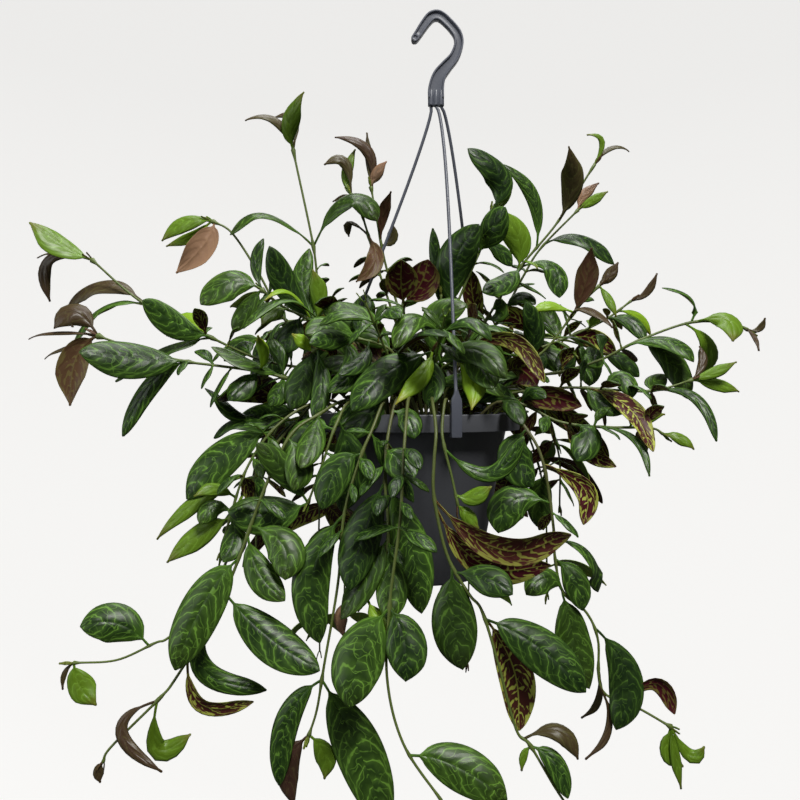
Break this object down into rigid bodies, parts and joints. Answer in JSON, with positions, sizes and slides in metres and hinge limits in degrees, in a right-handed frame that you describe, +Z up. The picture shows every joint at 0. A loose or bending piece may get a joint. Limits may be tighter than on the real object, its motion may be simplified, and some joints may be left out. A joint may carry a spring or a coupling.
{
  "type": "hanging potted plant",
  "caption": "Trailing tiger lipstick plant with mottled lance-shaped leaves, growing in a dark plastic pot that hangs from a hooked strand hanger.",
  "frame": {"origin": "the inside top of the hook, where it bears on what it hangs from", "axes": "+Z up, +Y away from the viewer, +X to the right in the picture"},
  "size_m": [0.521, 0.3333, 0.5651],
  "materials": {
    "pot_plastic": "satin charcoal plastic",
    "hanger_plastic": "satin blue-grey plastic",
    "peat": "dark crumbly peat with pale grains",
    "foliage": "glossy dark green leaves with a pale net above and maroon marks beneath"
  },
  "bodies": {
    "root": {"hook": "hanger_plastic", "pot": "pot_plastic", "soil": "peat", "stem_back_left": "foliage", "stem_back_right": "foliage", "stem_crown_1": "foliage", "stem_crown_2": "foliage", "stem_crown_3": "foliage", "stem_crown_4": "foliage", "stem_crown_5": "foliage", "stem_crown_6": "foliage", "stem_crown_7": "foliage", "stem_crown_front": "foliage", "stem_crown_left": "foliage", "stem_crown_right": "foliage", "stem_dark_pair": "foliage", "stem_front_left_long": "foliage", "stem_front_left_short": "foliage", "stem_front_middle": "foliage", "stem_front_right_long": "foliage", "stem_front_right_short": "foliage", "stem_left_arch": "foliage", "stem_left_front": "foliage", "stem_left_high": "foliage", "stem_left_mid": "foliage", "stem_left_pair": "foliage", "stem_left_up": "foliage", "stem_long_right": "foliage", "stem_long_right_behind": "foliage", "stem_low_left": "foliage", "stem_low_left_front": "foliage", "stem_narrow_up": "foliage", "stem_red_tip": "foliage", "stem_red_tip_right": "foliage", "stem_right_front": "foliage", "stem_right_high": "foliage", "stem_right_low": "foliage", "stem_right_rim": "foliage", "stem_tall_left": "foliage", "stem_trailing_1": "foliage", "stem_trailing_2": "foliage", "stem_trailing_3": "foliage", "stem_trailing_4": "foliage", "stem_trailing_5": "foliage", "stem_trailing_6": "foliage", "stem_trailing_7": "foliage", "stem_trailing_8": "foliage", "stem_up_right": "foliage", "stem_young_top_left": "foliage", "stem_young_top_right": "foliage", "strand_back": "hanger_plastic", "strand_front": "hanger_plastic", "strand_left": "hanger_plastic"}
  },
  "joints": []
}
